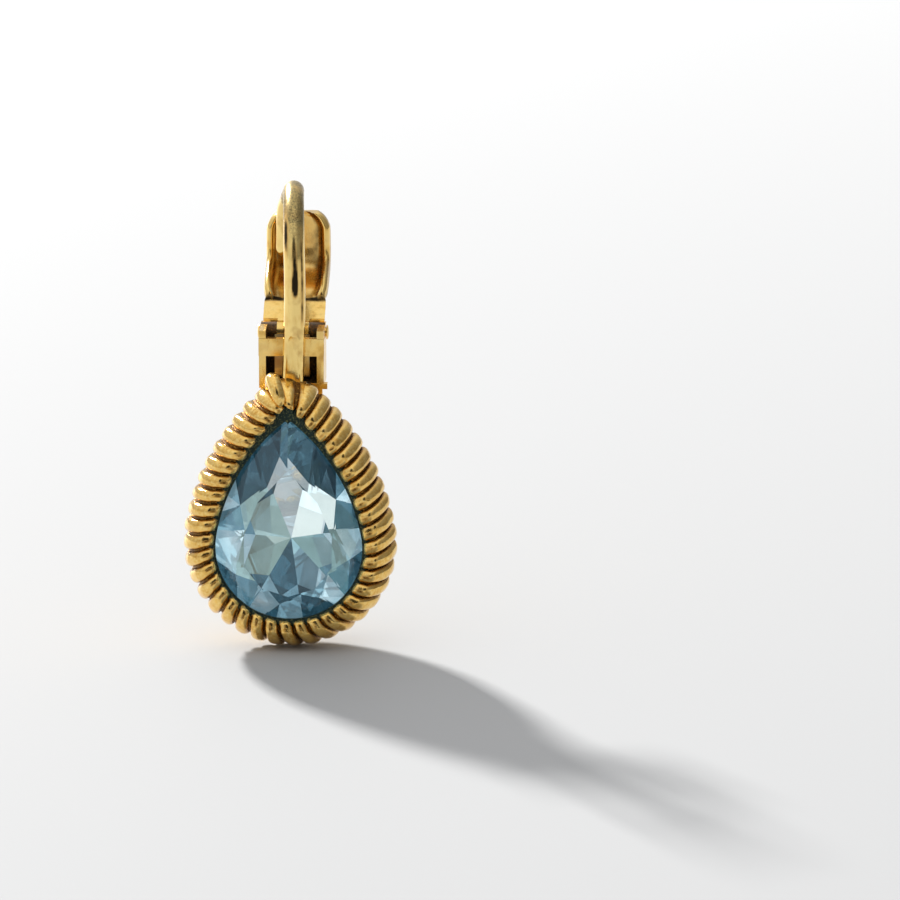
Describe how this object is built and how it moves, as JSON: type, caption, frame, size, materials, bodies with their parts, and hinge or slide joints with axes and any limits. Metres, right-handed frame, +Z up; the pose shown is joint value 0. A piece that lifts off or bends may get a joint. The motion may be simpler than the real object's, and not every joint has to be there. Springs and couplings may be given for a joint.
{
  "type": "teardrop earring",
  "caption": "Lever-back drop earring: a pear-cut pale blue stone in a border of coiled gold wire, hung from an ear hook that a hinged lever closes.",
  "frame": {"origin": "crown of the ear hook, on the wire's axis, where the earring hangs in the ear", "axes": "+Z up, the stone faces -Y, the hook arches back to +Y and its lever is at +Y, +X is to the right of a viewer who faces the stone"},
  "size_m": [0.0138, 0.0131, 0.0296],
  "materials": {
    "antiqued_gold": "polished gold plate with dark patina in the grooves of the coil",
    "aqua_crystal": "clear cut crystal, pale aquamarine",
    "pin_gold": "worn gold plate",
    "spring_gold": "tarnished gold plate",
    "lever_gold": "polished gold plate"
  },
  "bodies": {
    "earring": {"setting_with_ear_hook": "antiqued_gold", "stone": "aqua_crystal", "hinge_pin": "pin_gold", "leaf_spring": "spring_gold"},
    "lever_body": {"lever": "lever_gold"}
  },
  "joints": [
    {"name": "lever_hinge", "type": "hinge", "parent": "earring", "child": "lever_body", "pos_m": [0, -0.00121, -0.009], "axis": [-1, 0, 0], "range_deg": [0, 50]}
  ]
}
